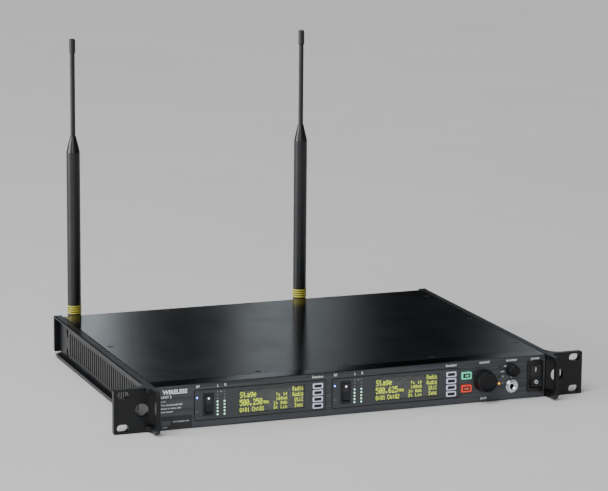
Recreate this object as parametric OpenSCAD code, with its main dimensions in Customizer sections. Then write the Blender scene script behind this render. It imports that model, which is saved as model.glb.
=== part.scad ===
// One-unit rack enclosure for two wireless channels, with a display and keys
// for each channel, a control knob, a monitor section, a mains switch,
// a connector row at the back and two hinged whip antennas.
// Origin: centre of the rack bolt slots, on the back face of the ears.
// +X right, +Y towards the back of the rack, +Z up.

/* [Enclosure] */
// Width over the rack ears
rack_w = 482.6; // [481:0.1:484]
// Height of the side frames
unit_h = 42.9; // [42.7:0.1:43.1]
// Thickness of the rack ears
ear_t = 5; // [4.5:0.1:5]
// Depth from the back of the ears to the back panel's outer face
body_d = 306.7; // [300:0.1:312]
// Thickness of the top cover sheet
cover_t = 1.5; // [1.2:0.1:1.5]

/* [Rack slots] */
// Distance between the slot centres, side to side
slot_dx = 465.1; // [464:0.1:466]
// Distance between the slot centres, up and down
slot_dz = 31.75; // [31:0.05:32]
// End-to-end length of a slot
slot_len = 11.2; // [10:0.1:12]
// Half of the slot's width
slot_r = 3.6; // [3.2:0.1:3.9]
// Radius of the antenna port in each ear
port_r = 6.6; // [6:0.1:7]

/* [Side frames] */
// Number of cooling slots on each side
vents = 33; // [20:1:33]
// Distance between cooling slots
vent_pitch = 7.25; // [6:0.05:7.25]
// Width of one cooling slot
vent_w = 3.2; // [2.4:0.1:3.6]
// How far the front handle stands out from the ear
handle_out = 21.5; // [19:0.5:24]
// Width of the handle's grip bar
grip_w = 4; // [3.5:0.1:5]

/* [Controls] */
// Face radius of the control knob
knob_r = 10; // [9:0.1:10.5]
// How far the control knob stands out
knob_out = 11; // [10:0.1:13]
// Face radius of the monitor knob
mon_r = 5.5; // [5:0.1:6]
// How far the monitor knob stands out
mon_out = 9.4; // [8:0.1:11]
// Travel of the knobs and buttons when pressed
press = 0.6; // [0.4:0.1:0.7]
// Half of the mains rocker's swing in degrees
rock = 8; // [5:0.5:9]

/* [Antennas] */
// Side position of the first antenna
ant1_x = 66; // [60:0.5:70]
// Side position of the second antenna
ant2_x = -184.6; // [-185:0.1:-183]
// Height of the thick sleeve's top above the hinge
sleeve_top = 190.5; // [150:0.5:200]
// Height of the whip's tip above the hinge
whip_top = 308; // [260:1:320]
// Radius of the thick sleeve
sleeve_r = 7; // [6.4:0.1:7.2]

/* [Hidden] */
$fn = 48;

z_top = unit_h / 2;              // top of the frames and the cover
z_bot = -unit_h / 2;             // bottom of the frames and the pan
pf = -ear_t;                     // plane of the front panel's face
bk = body_d;                     // outer face of the back panel
web_in = 201.5;                  // side frame web, inner face
web_out = 204.5;                 // side frame web, outer face
rail_x = 209.4;                  // outer edge of the side frame's flanges
loop_y = bk + 8.3;               // back of the rear guards
pan_x = 201.3;                   // outside of the pan's walls
cover_x = 200.7;                 // half width of the cover and front panel, clear of the rails
sheet = 1.2;                     // pan sheet thickness
vent_y0 = 37;                    // first cooling slot
board_y = pf + 11;               // front face of the front circuit board

// channel bezel: left edges, size, and the places of what it holds
bez_x = [-162.2, -23.5];
bez_w = 131.6;
bez_h = 28.6;
key_x = 123.6;                   // key column, from the bezel's left edge
key_z = [9.2, 2.7, -3.8, -10.3]; // key rows
disp_x = 77.3;                   // display centre, from the bezel's left edge
disp_w = 66.4;
disp_h = 22.8;
rf_x = 13.5;                     // switch centre, from the bezel's left edge
rf_z = 0.5;
led_x = [22.65, 29.6];           // level columns
led_dz = 3.14;                   // level light spacing
ent = [116.4, 6.6];              // enter button centre
ext = [116.4, -6.3];             // exit button centre
ctl = [135.3, 0.2];              // control knob axis
mon = [164.6, 8.4];              // monitor knob axis
phn = [165, -7.6];               // headphone socket axis
pow = [190, 0.1];                // mains switch centre
sig_x = 151.6;                   // monitor lights
sig_z = [12.7, 2.6, -4.3];

cover_pts = [for (s = [-1, 1]) for (y = [48, 161.8, 275.6]) [s * 194.3, y],
             for (x = [-90, 0, 90]) [x, 20], for (x = [-90, 0, 90]) [x, bk - 5]];
rear_pts = [for (s = [-1, 1]) for (z = [-13, 13]) [s * 196, z]];
side_pts = [for (y = [18, 110, 200, 292]) for (z = [-15.6, 15.6]) [y, z]];
jack_y = bk + 15.8;              // antenna hinge, behind the back panel

// ---------- helpers ----------
// flat shape drawn in X and Z, given depth from y0 to y1
module xz(y0, y1) translate([0, y1, 0]) rotate([90, 0, 0]) linear_extrude(y1 - y0) children();
// flat shape drawn in Y and Z, given width from x0 to x1
module yz(x0, x1) translate([x0, 0, 0]) rotate([90, 0, 90]) linear_extrude(x1 - x0) children();
// round bar along Y
module rod(x, z, r, y0, y1, n = 48) translate([x, y1, z]) rotate([90, 0, 0]) cylinder(h = y1 - y0, r = r, $fn = n);
// box from corner to corner
module block(a, b) translate(a) cube([b[0] - a[0], b[1] - a[1], b[2] - a[2]]);
// flat rectangle with round corners, centred
module plate2(w, h, r) {
  square([w - 2 * r, h], center = true);
  square([w, h - 2 * r], center = true);
  for (x = [-1, 1]) for (y = [-1, 1]) translate([x * (w / 2 - r), y * (h / 2 - r)]) circle(r, $fn = 32);
}
// flat slot with round ends, running along its second axis
module slot2(w, h) {
  square([w, h - w], center = true);
  for (s = [-1, 1]) translate([0, s * (h - w) / 2]) circle(w / 2, $fn = 24);
}
// turned shape on an axis along Y; profile pairs are [radius, y]
module turned(x, z, pts) translate([x, 0, z]) rotate([-90, 0, 0]) rotate_extrude($fn = 64) polygon(pts);

module vent_slots(w, h) for (i = [0 : vents - 1])
  translate([vent_y0 + i * vent_pitch, 0]) slot2(w, h);

// ---------- enclosure ----------
module chassis_pan() color("#2b2d30") difference() {
  union() {
    block([-pan_x, pf + 3.2, z_bot], [pan_x, bk - 1.6, z_bot + sheet]);
    for (s = [0, 1]) mirror([s, 0, 0]) {
      yz(pan_x - sheet, pan_x) difference() {
        polygon([[pf + 3.2, z_bot], [bk - 1.6, z_bot], [bk - 1.6, z_top - cover_t - 0.02], [pf + 18.4, z_top - cover_t - 0.02],
          [pf + 18.4, z_top - 2.9], [pf + 3.2, z_top - 2.9]]);
        vent_slots(vent_w + 0.4, 24.4);
        for (z = [11.6, -9.6]) translate([279.8, z - 1.8]) slot2(6.6, 10.6);
      }
      // inward flanges that carry the cover and the back panel
      block([pan_x - 13, pf + 18.4, z_top - cover_t - 1.4], [pan_x - sheet, bk - 1.6, z_top - cover_t - 0.02]);
      block([pan_x - 10.8, bk - 2.8, -18], [pan_x - sheet, bk - 1.6, 18]);
    }
    // front cross rail and front lip
    block([-pan_x + 5, pf + 18.4, z_top - cover_t - 1.4], [pan_x - 5, pf + 32, z_top - cover_t - 0.02]);
    block([-150, pf + 3.2, z_bot], [150, pf + 4.4, z_bot + 4]);
  }
  for (p = cover_pts) if (p[1] < bk - 6) translate([p[0], p[1], 10]) cylinder(h = 14, r = 1.5, $fn = 24);
  for (p = rear_pts) rod(p[0], p[1], 1.5, bk - 6, bk + 1, 24);
  for (s = [0, 1]) mirror([s, 0, 0]) for (p = side_pts)
    translate([190, p[0], p[1]]) rotate([0, 90, 0]) cylinder(h = 14, r = 1.55, $fn = 24);
}

module top_cover() color("#303236") difference() {
  translate([0, 0, z_top - cover_t]) linear_extrude(cover_t)
    translate([0, (pf + 18.3 + bk - 0.1) / 2]) plate2(2 * cover_x, bk - 0.1 - pf - 18.3, 0.8);
  for (p = cover_pts) translate([p[0], p[1], z_top - cover_t - 1]) {
    cylinder(h = cover_t + 2, r = 1.6, $fn = 24);
    translate([0, 0, 1]) cylinder(h = cover_t + 0.01, r1 = 1.65, r2 = 3.15, $fn = 32);
  }
}

module front_panel() color("#46484c") difference() {
  yz(-cover_x, cover_x) polygon([[pf, z_bot + 0.4], [pf, z_top - 1.1], [pf + 0.8, z_top - 0.45], [pf + 2.4, z_top - 0.28],
    [pf + 18, z_top], [pf + 18, z_top - 2.6], [pf + 3, z_top - 2.6], [pf + 3, z_bot + 0.4]]);
  xz(pf - 1, pf + 1.3) for (c = [0, 1]) translate([bez_x[c] + bez_w / 2, 0.1]) plate2(bez_w + 1.2, bez_h + 1.2, 2.1);
  xz(pf - 1, pf + 4) {
    for (c = [0, 1]) translate([bez_x[c] + bez_w / 2, 0.1]) plate2(bez_w + 0.2, bez_h + 0.2, 1.6);
    for (p = [ent, ext]) translate(p) plate2(11, 7.6, 0.9);
    translate(ctl) circle(4.6);
    translate(mon) circle(3.6);
    translate(phn) circle(4.6);
    translate(pow) plate2(15, 28.8, 0.8);
    for (z = sig_z) translate([sig_x, z]) circle(1.1, $fn = 24);
  }
}

// openings in the back panel, drawn in X and Z
inlet = [173, -1];
outlet = [136, -1];
lan = [102, -3];
combo_x = [12, -22, -92, -126];
loop_x = [40, -62];
module rear_panel() color("#2b2d30") {
  xz(bk - 1.5, bk) difference() {
    translate([-pan_x, z_bot]) square([2 * pan_x, z_top - cover_t - z_bot - 0.02]);
    translate(inlet) plate2(28.2, 20.4, 1.2);
    translate(outlet) plate2(28.2, 20.4, 1.2);
    translate(lan) square([29.4, 13.8], center = true);
    for (x = combo_x) translate([x, 0]) circle(12.1);
    for (x = loop_x) for (z = [-9, 9]) translate([x, z]) circle(4.7);
    for (x = [ant1_x, ant2_x]) translate([x, 0]) circle(5.6);
    for (p = rear_pts) translate(p) circle(1.6, $fn = 24);
  }
  difference() {
    block([-185, bk - 12, z_top - cover_t - 1.4], [185, bk - 1.5, z_top - cover_t - 0.02]);
    for (p = cover_pts) if (p[1] > bk - 6) translate([p[0], p[1], 10]) cylinder(h = 14, r = 1.5, $fn = 24);
  }
}

// right-hand side frame: rail, ear, handle and rear guard in one casting
module side_frame() {
  zt = z_top; zb = z_bot; zh = zb + 1.5;
  difference() {
    union() {
      // web with cooling slots and mounting keyholes
      yz(web_in, web_out) difference() {
        translate([pf + 1, zb + 1]) square([bk - pf - 1, unit_h - 2]);
        vent_slots(vent_w, 24);
        for (z = [11.6, -9.6]) {
          translate([280, z]) circle(3);
          translate([279.2, z - 4.2]) circle(2.1, $fn = 32);
          translate([279.6, z - 2.4]) square([2.6, 3.4], center = true);
        }
      }
      // top flange, with a broken outer edge
      xz(pf, loop_y) polygon([[web_in, zt - 2.1], [web_in, zt], [rail_x - 1.1, zt], [rail_x, zt - 0.7], [rail_x, zt - 2.1]]);
      // bottom flange with a groove beside its outer lip
      xz(pf, loop_y) polygon([[web_in, zb], [web_in, zb + 4.3], [rail_x - 1.9, zb + 4.3], [rail_x - 1.9, zb + 2.2],
        [rail_x - 0.9, zb + 2.2], [rail_x - 0.9, zb + 4.1], [rail_x, zb + 4.1], [rail_x, zb + 0.7], [rail_x - 0.9, zb]]);
      // rear guard post
      block([web_in, loop_y - 3.3, zb], [rail_x, loop_y, zt]);
      // rack ear
      xz(pf, 0) difference() {
        union() {
          translate([web_in, zb]) square([30, unit_h]);
          translate([rack_w / 2 - 18, (zt + zb) / 2]) plate2(36, unit_h, 1.6);
        }
        for (s = [-1, 1]) translate([slot_dx / 2, s * slot_dz / 2]) rotate(90) slot2(2 * slot_r, slot_len);
      }
      // curved gussets between the ear and both flanges
      for (z = [[zt - 2.1, zt], [zb, zb + 4.1]]) difference() {
        block([rail_x - 1, -0.5, z[0]], [rail_x + 12, 12, z[1]]);
        translate([rail_x + 12, 12, z[0] - 1]) cylinder(h = 6.5, r = 12, $fn = 64);
      }
      // handle: side outline, narrowed to the grip bar by a hollow flank
      difference() {
        yz(web_in + 0.2, rail_x + 0.6) difference() {
          polygon([[pf + 0.5, zt], [pf - handle_out + 4.4, zt], [pf - handle_out, zt - 4.4], [pf - handle_out, zh + 4.4],
            [pf - handle_out + 4.4, zh], [pf + 0.5, zh]]);
          polygon([[pf, zt - 4.7], [pf - handle_out + 7.4, zt - 4.7], [pf - handle_out + 5.2, zt - 7], [pf - handle_out + 5.2, zh + 6.6],
            [pf - handle_out + 7.4, zh + 4.4], [pf, zh + 4.4]]);
        }
        translate([web_in + 1 + grip_w + 14.5, pf - 10, zb - 1]) cylinder(h = unit_h + 2, r = 14.5, $fn = 96);
        block([web_in + 1 + grip_w, pf - handle_out - 1, zb - 1], [rail_x + 2, pf - 10, zt + 1]);
        block([web_in, pf - handle_out - 1, zb - 1], [web_in + 1, pf - 8, zt + 1]);
      }
    }
    // rear guard: cut-away lower corner
    yz(web_in - 1, rail_x + 1) polygon([[loop_y - 12.8, zb - 0.1], [loop_y + 0.1, zb + 7], [loop_y + 1, zb + 7], [loop_y + 1, zb - 1], [loop_y - 12.8, zb - 1]]);
    // rear guard: small bevel on the upper corner
    yz(web_in - 1, rail_x + 1) polygon([[loop_y - 2, zt + 0.1], [loop_y + 0.1, zt - 1.6], [loop_y + 1, zt - 1.6], [loop_y + 1, zt + 1], [loop_y - 2, zt + 1]]);
    // antenna port through the ear
    rod(214.1, 0, port_r, pf - 12, 1);
    for (p = side_pts) translate([web_in - 1, p[0], p[1]]) rotate([0, 90, 0]) cylinder(h = 3.4, r = 1.5, $fn = 24);
  }
}
module side_frame_right() color("#26282b") side_frame();
module side_frame_left() color("#26282b") mirror([1, 0, 0]) side_frame();

module cover_screws() color("#1d1e20") {
  for (p = cover_pts) translate([p[0], p[1], 0]) difference() {
    union() {
      translate([0, 0, z_top - cover_t]) cylinder(h = cover_t - 0.1, r1 = 1.5, r2 = 3, $fn = 32);
      translate([0, 0, z_top - cover_t - 4]) cylinder(h = 4.2, r = 1.5, $fn = 24);
    }
    translate([0, 0, z_top - 1.1]) cylinder(h = 2, r = 1.1, $fn = 6);
  }
  for (p = rear_pts) difference() {
    union() {
      turned(p[0], p[1], [[0, bk], [2.8, bk], [2.8, bk + 0.8], [2, bk + 1.5], [0, bk + 1.5]]);
      rod(p[0], p[1], 1.5, bk - 5, bk + 0.2, 24);
    }
    rod(p[0], p[1], 1.1, bk + 0.7, bk + 2, 6);
  }
}

module side_screws() color("#8a8c8f") for (s = [0, 1]) mirror([s, 0, 0]) for (p = side_pts)
  translate([0, p[0], p[1]]) rotate([0, 90, 0]) difference() {
    union() {
      translate([0, 0, pan_x - sheet - 1.8]) cylinder(h = 1.8, r = 2.7, $fn = 24);
      translate([0, 0, pan_x - sheet - 0.5]) cylinder(h = 4, r = 1.5, $fn = 24);
    }
    translate([0, 0, pan_x - sheet - 2]) cylinder(h = 1.2, r = 1.1, $fn = 6);
  }

// ---------- channel sections ----------
module level_spots(c) for (x = led_x) for (i = [0 : 7]) translate([bez_x[c] + x, 12 - i * led_dz]) children();
module status_spots(c) for (z = [7.6, -6.2]) translate([bez_x[c] + 2.3, z]) children();

module bezel(c) color("#1b1c1f") xz(pf - 0.5, pf + 2) difference() {
  translate([bez_x[c] + bez_w / 2, 0.1]) plate2(bez_w, bez_h, 1.5);
  translate([bez_x[c] + disp_x, 0.1]) square([disp_w, disp_h], center = true);
  translate([bez_x[c] + rf_x, rf_z]) plate2(10.9, 22, 1);
  for (z = key_z) translate([bez_x[c] + key_x, z]) plate2(10.5, 5.5, 0.7);
  level_spots(c) circle(0.85, $fn = 24);
  status_spots(c) circle(0.85, $fn = 24);
}
module channel_1_bezel() bezel(0);
module channel_2_bezel() bezel(1);

module window(c) color("#8fa0a8", 0.4) xz(pf - 0.1, pf + 0.9)
  translate([bez_x[c] + disp_x, 0.1]) square([disp_w - 0.1, disp_h - 0.1], center = true);
module display_window_1() window(0);
module display_window_2() window(1);

// display module: glass in the bezel opening, metal frame and driver board
module display(c) color("#5d5e60") {
  xz(pf + 1, pf + 2.1) translate([bez_x[c] + disp_x, 0.1]) square([disp_w - 0.3, disp_h - 0.3], center = true);
  xz(pf + 2.1, pf + 8.4) translate([bez_x[c] + disp_x, 0.1]) square([75, 27.4], center = true);
  for (x = [-34, 34]) for (z = [-11, 11]) rod(bez_x[c] + disp_x + x, z, 1.5, pf + 8.3, board_y, 24);
}
module display_module_1() display(0);
module display_module_2() display(1);

// small two-position switch: housing with a pocket, and its rocker
rf_pivot = pf + 3.2;
module rf_body(c) color("#17181a") difference() {
  union() {
    xz(pf - 0.9, pf + 2.05) translate([bez_x[c] + rf_x, rf_z]) plate2(10.7, 21.8, 1);
    xz(pf + 2.05, board_y) translate([bez_x[c] + rf_x, rf_z]) square([10.2, 21], center = true);
  }
  xz(pf - 2, pf + 8) translate([bez_x[c] + rf_x, rf_z]) square([6.5, 17.6], center = true);
}
module rf_rocker(c) color("#26282b") translate([bez_x[c] + rf_x, rf_pivot, rf_z]) rotate([-7, 0, 0])
  translate([-2.95, 0, 0]) rotate([90, 0, 90]) linear_extrude(5.9) {
    polygon([[-4.5, 0.6], [-6.1, 7.6], [-5.6, 7.9], [-2.6, 7.5], [1, 2.5], [1, -2.5], [-2.6, -7.5], [-5.6, -7.9], [-6.1, -7.6], [-4.5, -0.6]]);
    circle(2.7);
  }
module rf_switch_1_body() rf_body(0);
module rf_switch_2_body() rf_body(1);
module rf_switch_1_rocker() rf_rocker(0);
module rf_switch_2_rocker() rf_rocker(1);

module panel_leds() color("#d8e6da") {
  for (c = [0, 1]) {
    xz(pf - 0.6, board_y) level_spots(c) circle(0.8, $fn = 24);
    xz(pf - 0.6, board_y) status_spots(c) circle(0.8, $fn = 24);
  }
  for (z = sig_z) turned(sig_x, z, [[0, pf - 0.9], [0.5, pf - 0.8], [0.9, pf - 0.3], [1, pf + 0.2], [1, board_y], [0, board_y]]);
}

// push button: cap with a shallow pocket in its face, retaining flange and stem
module button(x, z, w, h, r, rw, rh) {
  difference() {
    xz(pf - 1.3, pf + 2) translate([x, z]) plate2(w, h, r);
    xz(pf - 2, pf - 0.8) translate([x, z]) plate2(w - 2 * rw, h - 2 * rh, 0.3);
  }
  xz(pf + 2, pf + 3.4) translate([x, z]) plate2(w - 0.6, h - 0.6, r);
  rod(x, z, 1.2, pf + 3.3, board_y - 1, 24);
}
module key(c, i) color("#c9c8d6") button(bez_x[c] + key_x, key_z[i], 9.9, 4.9, 0.6, 1.05, 0.85);
module channel_1_button_a() key(0, 0);
module channel_1_button_b() key(0, 1);
module channel_1_button_c() key(0, 2);
module channel_1_button_d() key(0, 3);
module channel_2_button_a() key(1, 0);
module channel_2_button_b() key(1, 1);
module channel_2_button_c() key(1, 2);
module channel_2_button_d() key(1, 3);
module enter_button() color("#7fd6ae") button(ent[0], ent[1], 10.4, 7, 0.8, 1.25, 1.3);
module exit_button() color("#e0604c") button(ext[0], ext[1], 10.4, 7, 0.8, 1.25, 1.3);

// ---------- knobs ----------
// bushed housing behind the panel; the shaft turns and slides in its bore
module bushed(p, w, r, rs) difference() {
  union() {
    xz(pf + 3.1, board_y) translate(p) square([w, w], center = true);
    rod(p[0], p[1], r, pf + 0.3, pf + 3.2);
  }
  rod(p[0], p[1], rs, pf - 3, board_y - 0.8);
}
module control_encoder() color("#b9bcc0") bushed(ctl, 12.4, 4.5, 3.05);
module monitor_pot() color("#b9bcc0") bushed(mon, 10.4, 3.5, 2.55);
module control_shaft() color("#c9ccd0") rod(ctl[0], ctl[1], 3, pf - knob_out + 2, board_y - 2);
module monitor_shaft() color("#c9ccd0") rod(mon[0], mon[1], 2.5, pf - mon_out + 2, board_y - 2);
// knob with a dished face and a hollow back that clears the bushing
module knob(p, r, out, rb, bore, hub) turned(p[0], p[1], [
  [bore, pf - 3.6], [bore, pf - out + 1.6], [0, pf - out + 1.6], [0, pf - out + 0.9], [r * 0.62, pf - out + 0.75], [r * 0.78, pf - out + 0.3],
  [r - 0.9, pf - out], [r - 0.3, pf - out + 0.2], [r, pf - out + 0.7], [rb, pf - 2.2], [rb + 0.15, pf - 1.4], [rb, pf - 1],
  [hub, pf - 1], [hub, pf - 3.6]]);
module control_knob() color("#1f2023") knob(ctl, knob_r, knob_out, knob_r + 0.9, 3.05, 5.4);
module monitor_knob() color("#1f2023") knob(mon, mon_r, mon_out, mon_r + 0.7, 2.55, 4.2);

// ---------- headphone socket and mains switch ----------
module headphone_jack() color("#2a2b2d") difference() {
  union() {
    block([phn[0] - 5.4, pf + 3.1, phn[1] - 5.4], [phn[0] + 5.4, pf + 17, phn[1] + 5.4]);
    rod(phn[0], phn[1], 4.5, pf - 3, pf + 3.2);
  }
  rod(phn[0], phn[1], 1.8, pf - 4, pf + 16);
  turned(phn[0], phn[1], [[0, pf - 3.1], [3.3, pf - 3.1], [1.8, pf - 1.7], [0, pf - 1.7]]);
}
module headphone_nut() color("#d9dbde") turned(phn[0], phn[1], [[4.5, pf], [6.6, pf], [6.6, pf - 1.3], [6.3, pf - 1.6], [5.8, pf - 1.6],
  [5.75, pf - 1.2], [5.45, pf - 1.2], [5.4, pf - 2.3], [5.1, pf - 2.6], [4.5, pf - 2.6]]);

sw_pivot = pf + 3.4;
module power_switch_body() color("#1b1c1f") difference() {
  union() {
    xz(pf - 1.2, pf) translate(pow) plate2(17, 31, 1);
    xz(pf, pf + 20) translate(pow) square([14.6, 28.4], center = true);
    for (z = [-8, 0, 8]) block([pow[0] - 2.4, pf + 19.9, pow[1] + z - 0.4], [pow[0] + 2.4, pf + 27, pow[1] + z + 0.4]);
  }
  xz(pf - 2, pf + 12) translate(pow) square([11.8, 23.2], center = true);
}
module power_rocker() color("#2b2c2f") translate([pow[0], sw_pivot, pow[1]]) rotate([-rock, 0, 0])
  translate([-5.5, 0, 0]) rotate([90, 0, 90]) linear_extrude(11) {
    polygon([[-5.2, 0], [-5.5, 3], [-7.1, 9.8], [-6.6, 10.5], [-3, 10.2], [2, 3.5], [2, -3.5], [-3, -10.2], [-6.6, -10.5], [-7.1, -9.8], [-5.5, -3]]);
    circle(3.6);
  }

// ---------- boards and supply ----------
board_z = z_bot + 9.4;           // underside of the main board
module front_board() color("#1f5a3a") xz(board_y, board_y + 1.6) difference() {
  translate([-172, -18]) square([344, 35]);
  translate(phn) square([11.6, 11.6], center = true);
  for (x = [-168, -30, 0, 146, 168]) translate([x, 14.5]) circle(1.6, $fn = 24);
}
module chip(x, y, w, d, h) translate([x - w / 2, y - d / 2, board_z + 1.59]) cube([w, d, h]);
module main_board() color("#1f5a3a") difference() {
  union() {
    block([-192, 22, board_z], [112, 268, board_z + 1.6]);
    for (c = [-120, 20]) { chip(c, 90, 20, 20, 2); chip(c, 150, 14, 14, 2); chip(c + 32, 110, 10, 16, 2); chip(c - 32, 70, 40, 6, 8); }
    chip(-50, 60, 24, 24, 3);
    chip(-50, 190, 60, 6, 9);
  }
  for (x = [-184, -90, 10, 104]) for (y = [30, 258]) translate([x, y, board_z - 1]) cylinder(h = 4, r = 1.6, $fn = 24);
}
module power_supply() color("#6b5b2e") {
  block([120, 60, board_z], [194, 268, board_z + 1.6]);
  block([128, 200, board_z + 1.59], [166, 240, board_z + 25]);
  block([172, 80, board_z + 1.59], [176, 180, board_z + 24]);
  for (i = [0 : 8]) block([175.9, 82 + i * 12, board_z + 3], [188, 84 + i * 12, board_z + 23]);
  for (y = [90, 120]) translate([140, y, board_z + 1.59]) cylinder(h = 24, r = 11);
}
module rf_shields() color("#b4b7ba") for (x = [60, -150]) difference() {
  block([x - 26, 200, board_z + 1.6], [x + 26, 262, board_z + 14]);
  for (i = [-2 : 2]) for (j = [-2 : 2]) translate([x + i * 9, 231 + j * 10, board_z + 13]) cylinder(h = 2, r = 1.5, $fn = 24);
}
module board_standoffs() color("#b4b7ba") {
  for (p = [for (x = [-184, -90, 10, 104]) for (y = [30, 258]) [x, y], for (x = [124, 190]) for (y = [66, 262]) [x, y]])
    translate([p[0], p[1], z_bot + sheet]) {
      cylinder(h = 9.4 - sheet, r = 3.2, $fn = 6);
      if (p[0] < 112) {
        translate([0, 0, 8]) cylinder(h = 2, r = 1.6, $fn = 24);
        translate([0, 0, 11 - sheet]) cylinder(h = 1.8, r = 2.8, $fn = 24);
      }
    }
}

// ---------- back panel connectors ----------
module ac_inlet() color("#191a1c") {
  difference() {
    union() {
      xz(bk - 24, bk) translate(inlet) plate2(28, 20.2, 1.2);
      xz(bk, bk + 2) translate(inlet) plate2(31, 23.4, 1.6);
    }
    xz(bk - 16, bk + 3) translate(inlet) polygon([[-12.1, -8.3], [12.1, -8.3], [12.1, 4.4], [8.2, 8.3], [-8.2, 8.3], [-12.1, 4.4]]);
  }
  for (p = [[-7, -2], [0, 2], [7, -2]]) block([inlet[0] + p[0] - 1, bk - 17, inlet[1] + p[1] - 2], [inlet[0] + p[0] + 1, bk - 2, inlet[1] + p[1] + 2]);
}
module ac_outlet() color("#191a1c") difference() {
  union() {
    xz(bk - 22, bk) translate(outlet) plate2(28, 20.2, 1.2);
    xz(bk, bk + 2) translate(outlet) plate2(31, 23.4, 1.6);
  }
  xz(bk - 14, bk + 3) translate(outlet) difference() {
    polygon([[-12.1, -8.3], [12.1, -8.3], [12.1, 4.4], [8.2, 8.3], [-8.2, 8.3], [-12.1, 4.4]]);
    polygon([[-10.4, -6.6], [10.4, -6.6], [10.4, 3.6], [7.4, 6.6], [-7.4, 6.6], [-10.4, 3.6]]);
    }
  for (p = [[-7, -2], [0, 2], [7, -2]]) block([outlet[0] + p[0] - 1.2, bk - 18, outlet[1] + p[1] - 2.4], [outlet[0] + p[0] + 1.2, bk + 3, outlet[1] + p[1] + 2.4]);
}
module ethernet_ports() color("#9ea1a5") difference() {
  xz(bk - 21, bk + 0.4) translate(lan) square([29.2, 13.6], center = true);
  for (s = [-1, 1]) {
    xz(bk - 14, bk + 1) translate([lan[0] + s * 7.2, lan[1] - 0.4]) square([11.8, 8.4], center = true);
    xz(bk - 12, bk + 1) translate([lan[0] + s * 7.2, lan[1] - 5]) square([5.6, 2.2], center = true);
  }
}
module audio_inputs() color("#1d1e20") for (x = combo_x) difference() {
  union() {
    xz(bk, bk + 1.6) translate([x, 0]) plate2(26, 31, 2);
    rod(x, 0, 12, bk - 24, bk + 0.1);
  }
  rod(x, 0, 3.25, bk - 22, bk + 3);
  // ring gap round the centre insert, then the three contact holes
  turned(x, 0, [[8.6, bk - 10], [9.9, bk - 10], [9.9, bk + 3], [8.6, bk + 3]]);
  for (a = [30, 150, 270]) rod(x + 6 * cos(a), 6 * sin(a), 1.3, bk - 12, bk + 3, 24);
  for (s = [-1, 1]) rod(x + s * 9.5, -s * 12, 1.6, bk - 1, bk + 3, 24);
}
module loop_outputs() color("#1d1e20") for (x = loop_x) for (z = [-9, 9]) difference() {
  union() {
    rod(x, z, 4.6, bk - 2, bk + 3);
    rod(x, z, 6.6, bk, bk + 2);
    block([x - 7.5, bk - 26, z - 7.5], [x + 7.5, bk - 1.6, z + 7.5]);
  }
  rod(x, z, 3.2, bk - 25, bk + 4);
}
// threaded antenna sockets with two bayonet studs each
module antenna_sockets() color("#c4c6c9") for (x = [ant1_x, ant2_x]) difference() {
  union() {
    rod(x, 0, 5.5, bk - 12, bk + 0.1);
    rod(x, 0, 7.4, bk, bk + 1.8, 6);
    rod(x, 0, 4.85, bk + 1.7, jack_y - 7.6);
  }
  rod(x, 0, 4.1, bk + 1.8, jack_y + 1);
}

// ---------- antennas ----------
module collar(x) color("#8f9296") turned(x, 0, [[4.93, bk + 2.4], [6.9, bk + 2.4], [7.2, bk + 2.8], [7.2, bk + 8], [6.9, bk + 8.4], [4.93, bk + 8.4]]);
// swivel: spigot in the socket, hub, two cheeks and the hinge pin
module knuckle(x) color("#1b1c1f") {
  rod(x, 0, 4.02, bk + 3, jack_y - 6.5);
  rod(x, 0, 6.4, jack_y - 6.9, jack_y - 5);
  difference() {
    intersection() {
      union() {
        block([x - 6.3, jack_y - 6.9, -6.2], [x + 6.3, jack_y, 6.2]);
        translate([x - 6.3, jack_y, 0]) rotate([0, 90, 0]) cylinder(h = 12.6, r = 6.2);
      }
      rod(x, 0, 8.4, jack_y - 7, jack_y + 7);
    }
    block([x - 3.5, jack_y - 5, -8], [x + 3.5, jack_y + 8, 8]);
  }
  translate([x - 6, jack_y, 0]) rotate([0, 90, 0]) cylinder(h = 12, r = 2);
}
// sleeve: hinge tongue, neck, thick tube and the cone above it
module sleeve(x) color("#1b1c1f") translate([x, jack_y, 0]) difference() {
  union() {
    translate([-3.2, 0, 0]) rotate([0, 90, 0]) cylinder(h = 6.4, r = 4.5);
    block([-3.2, -3.6, 0], [3.2, 3.6, 9.2]);
    translate([0, 0, 9]) cylinder(h = 1, r1 = sleeve_r - 0.8, r2 = sleeve_r);
    translate([0, 0, 10]) cylinder(h = sleeve_top - 10, r = sleeve_r);
    translate([0, 0, sleeve_top]) cylinder(h = 17, r1 = sleeve_r, r2 = 3);
  }
  translate([-5, 0, 0]) rotate([0, 90, 0]) cylinder(h = 10, r = 2.05);
  translate([0, 0, sleeve_top + 5]) cylinder(h = 20, r = 2.5);
}
module bands(x) color("#d6c84a") for (i = [0 : 3]) translate([x, jack_y, 21 + i * 2.35])
  difference() { cylinder(h = 1.3, r = sleeve_r + 0.45); translate([0, 0, -1]) cylinder(h = 4, r = sleeve_r); }
module whip(x) color("#1b1c1f") translate([x, jack_y, 0]) {
  translate([0, 0, sleeve_top + 5]) cylinder(h = whip_top - 20 - sleeve_top, r = 2.5);
  translate([0, 0, whip_top - 15.4]) cylinder(h = 1, r1 = 2.5, r2 = 3.2);
  translate([0, 0, whip_top - 14.4]) cylinder(h = 13, r = 3.2);
  translate([0, 0, whip_top - 1.4]) cylinder(h = 1.4, r1 = 3.2, r2 = 1.9);
}
module antenna_1_collar() collar(ant1_x);
module antenna_1_knuckle() knuckle(ant1_x);
module antenna_1_sleeve() sleeve(ant1_x);
module antenna_1_bands() bands(ant1_x);
module antenna_1_whip() whip(ant1_x);
module antenna_2_collar() collar(ant2_x);
module antenna_2_knuckle() knuckle(ant2_x);
module antenna_2_sleeve() sleeve(ant2_x);
module antenna_2_bands() bands(ant2_x);
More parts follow.
